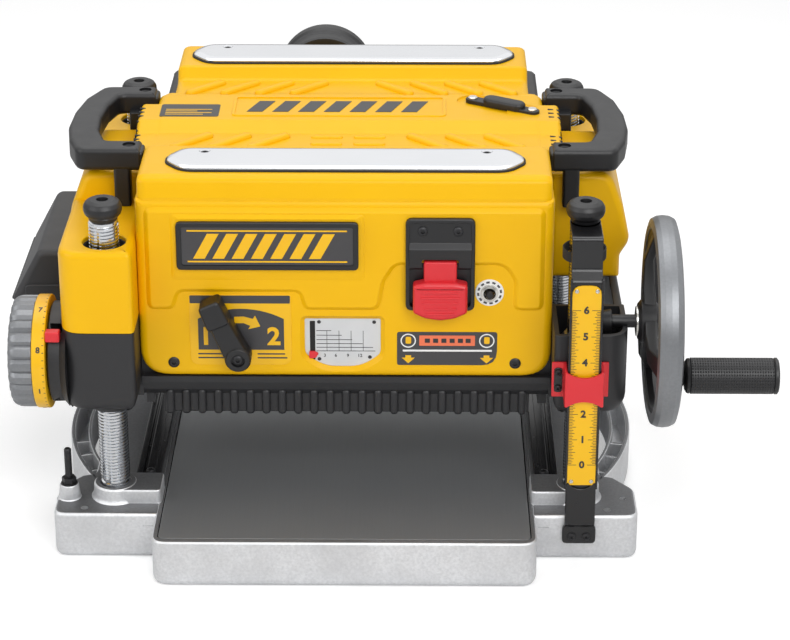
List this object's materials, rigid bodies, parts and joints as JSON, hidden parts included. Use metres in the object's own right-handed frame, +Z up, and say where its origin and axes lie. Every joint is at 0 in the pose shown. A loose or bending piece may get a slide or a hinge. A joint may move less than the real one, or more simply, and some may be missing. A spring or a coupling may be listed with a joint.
{
  "type": "thickness planer",
  "caption": "Bench thickness planer: a cast base with a steel table, and a covered cutting head that a hand wheel raises and lowers on four threaded posts.",
  "frame": {"origin": "centre of the base's underside", "axes": "+X across the table to the hand wheel, +Y the way a board is fed, +Z up"},
  "size_m": [0.7, 0.5245, 0.3652],
  "materials": {
    "cast_aluminium": "silver paint over a sand-cast surface",
    "polished_table": "ground and polished",
    "chromed_steel": "polished",
    "yellow_housing": "semi-gloss yellow",
    "black_housing": "fine moulded texture",
    "black_casting": "satin black paint on a casting",
    "black_steel": "black oxide",
    "red_plastic": "semi-gloss red",
    "silver_plastic": "satin light grey",
    "label_plate": "satin black with a raised edge",
    "yellow_scale": "printed yellow",
    "tool_steel": "machined",
    "rubber_belt": "matt",
    "bronze": "machined"
  },
  "bodies": {
    "base": {"base_casting": "cast_aluminium", "table_plate": "polished_table", "side_rail_left": "black_steel", "side_rail_right": "black_steel", "lift_chain": "tool_steel", "scale_bracket": "black_steel", "depth_scale": "yellow_scale", "depth_stop_bolt": "black_steel"},
    "head": {"carriage_frame": "black_casting", "front_cover": "yellow_housing", "top_cover": "yellow_housing", "side_cover_left": "yellow_housing", "side_cover_right": "yellow_housing", "rear_cover": "black_housing", "dust_port": "black_housing", "slide_bar_front": "chromed_steel", "slide_bar_rear": "chromed_steel", "carry_handle_left": "black_housing", "carry_handle_right": "black_housing", "badge_plate": "label_plate", "speed_plate": "yellow_scale", "gauge_plate": "silver_plastic", "switch_housing": "black_housing", "reset_collar": "chromed_steel", "scale_pointer": "red_plastic", "gearbox_cover": "black_housing", "drive_belt": "rubber_belt", "side_plate_left": "cast_aluminium", "side_plate_right": "cast_aluminium", "motor_housing": "black_housing", "knife_wrench": "black_steel", "lift_nut_front_left": "bronze", "lift_nut_front_right": "bronze", "lift_nut_rear_left": "bronze", "lift_nut_rear_right": "bronze"},
    "lift_gear": {"lift_bevel_gear": "tool_steel"},
    "wheel": {"hand_wheel": "silver_plastic"},
    "grip": {"crank_grip": "black_housing"},
    "motor": {"motor_rotor": "tool_steel", "chip_fan": "black_housing"},
    "cutter": {"cutterhead": "tool_steel", "knife_1": "tool_steel", "knife_2": "tool_steel", "knife_3": "tool_steel"},
    "infeed": {"infeed_roller": "rubber_belt"},
    "outfeed": {"outfeed_roller": "rubber_belt"},
    "speed_control": {"speed_lever": "black_housing"},
    "power_switch": {"switch_paddle": "red_plastic"},
    "breaker_button": {"reset_button": "black_housing"},
    "stop_turret": {"stop_turret_knob": "silver_plastic", "stop_turret_ring": "yellow_scale"},
    "removal_pointer": {"gauge_pointer": "red_plastic"},
    "post_front_left": {"lift_post_front_left": "chromed_steel", "post_cap_front_left": "black_steel"},
    "post_front_right": {"lift_post_front_right": "chromed_steel", "post_cap_front_right": "black_steel"},
    "post_rear_left": {"lift_post_rear_left": "chromed_steel", "post_cap_rear_left": "black_steel"},
    "post_rear_right": {"lift_post_rear_right": "chromed_steel", "post_cap_rear_right": "black_steel"}
  },
  "joints": [
    {"name": "hand_wheel_turn", "type": "hinge", "parent": "head", "child": "wheel", "pos_m": [0.27, -0.16, 0.2242], "axis": [1, 0, 0], "range_deg": [-16560, 17290]},
    {"name": "head_lift", "type": "slide", "parent": "base", "child": "head", "axis": [0, 0, 1], "range_m": [-0.073, 0.0762]},
    {"name": "lift_gear_turn", "type": "hinge", "parent": "head", "child": "lift_gear", "pos_m": [0.2135, -0.16, 0.206], "axis": [0, 0, 1], "range_deg": [-8650, 8650]},
    {"name": "post_turn_front_left", "type": "hinge", "parent": "base", "child": "post_front_left", "pos_m": [-0.2135, -0.16, 0.16], "axis": [0, 0, 1], "range_deg": [-8650, 8650]},
    {"name": "post_turn_front_right", "type": "hinge", "parent": "base", "child": "post_front_right", "pos_m": [0.2135, -0.16, 0.16], "axis": [0, 0, 1], "range_deg": [-8650, 8650]},
    {"name": "post_turn_rear_left", "type": "hinge", "parent": "base", "child": "post_rear_left", "pos_m": [-0.2135, 0.16, 0.16], "axis": [0, 0, 1], "range_deg": [-8650, 8650]},
    {"name": "post_turn_rear_right", "type": "hinge", "parent": "base", "child": "post_rear_right", "pos_m": [0.2135, 0.16, 0.16], "axis": [0, 0, 1], "range_deg": [-8650, 8650]},
    {"name": "crank_grip_spin", "type": "hinge", "parent": "wheel", "child": "grip", "pos_m": [0.34, -0.225, 0.2012], "axis": [1, 0, 0], "continuous": true},
    {"name": "motor_spin", "type": "hinge", "parent": "head", "child": "motor", "pos_m": [-0.06, 0.072, 0.2224], "axis": [1, 0, 0], "continuous": true},
    {"name": "cutterhead_spin", "type": "hinge", "parent": "head", "child": "cutter", "pos_m": [0, 0, 0.1522], "axis": [1, 0, 0], "continuous": true},
    {"name": "infeed_spin", "type": "hinge", "parent": "head", "child": "infeed", "pos_m": [0, -0.062, 0.1404], "axis": [1, 0, 0], "continuous": true},
    {"name": "outfeed_spin", "type": "hinge", "parent": "head", "child": "outfeed", "pos_m": [0, 0.062, 0.1404], "axis": [1, 0, 0], "continuous": true},
    {"name": "speed_lever_turn", "type": "hinge", "parent": "head", "child": "speed_control", "pos_m": [-0.0967, -0.16, 0.1882], "axis": [0, 1, 0], "range_deg": [0, 50]},
    {"name": "switch_paddle_swing", "type": "hinge", "parent": "head", "child": "power_switch", "pos_m": [0.0855, -0.1553, 0.2812], "axis": [1, 0, 0], "range_deg": [-12, 0]},
    {"name": "reset_button_press", "type": "slide", "parent": "head", "child": "breaker_button", "axis": [0, 1, 0], "range_m": [0, 0.0025], "stiffness_N_per_m": 400, "springref_m": -0.002},
    {"name": "stop_turret_turn", "type": "hinge", "parent": "head", "child": "stop_turret", "pos_m": [-0.285, -0.14, 0.1832], "axis": [1, 0, 0], "continuous": true},
    {"name": "removal_pointer_rise", "type": "slide", "parent": "head", "child": "removal_pointer", "axis": [0, 0, 1], "range_m": [0, 0.003]}
  ],
  "couplings": [
    {"joint": "hand_wheel_turn", "follows": "head_lift", "rad_per_m": 3957.9},
    {"joint": "lift_gear_turn", "follows": "head_lift", "rad_per_m": 1979},
    {"joint": "post_turn_front_left", "follows": "head_lift", "rad_per_m": 1979},
    {"joint": "post_turn_front_right", "follows": "head_lift", "rad_per_m": 1979},
    {"joint": "post_turn_rear_left", "follows": "head_lift", "rad_per_m": 1979},
    {"joint": "post_turn_rear_right", "follows": "head_lift", "rad_per_m": 1979},
    {"joint": "cutterhead_spin", "follows": "motor_spin", "ratio": 0.5},
    {"joint": "infeed_spin", "follows": "motor_spin", "ratio": -0.0033},
    {"joint": "outfeed_spin", "follows": "motor_spin", "ratio": -0.0033}
  ]
}
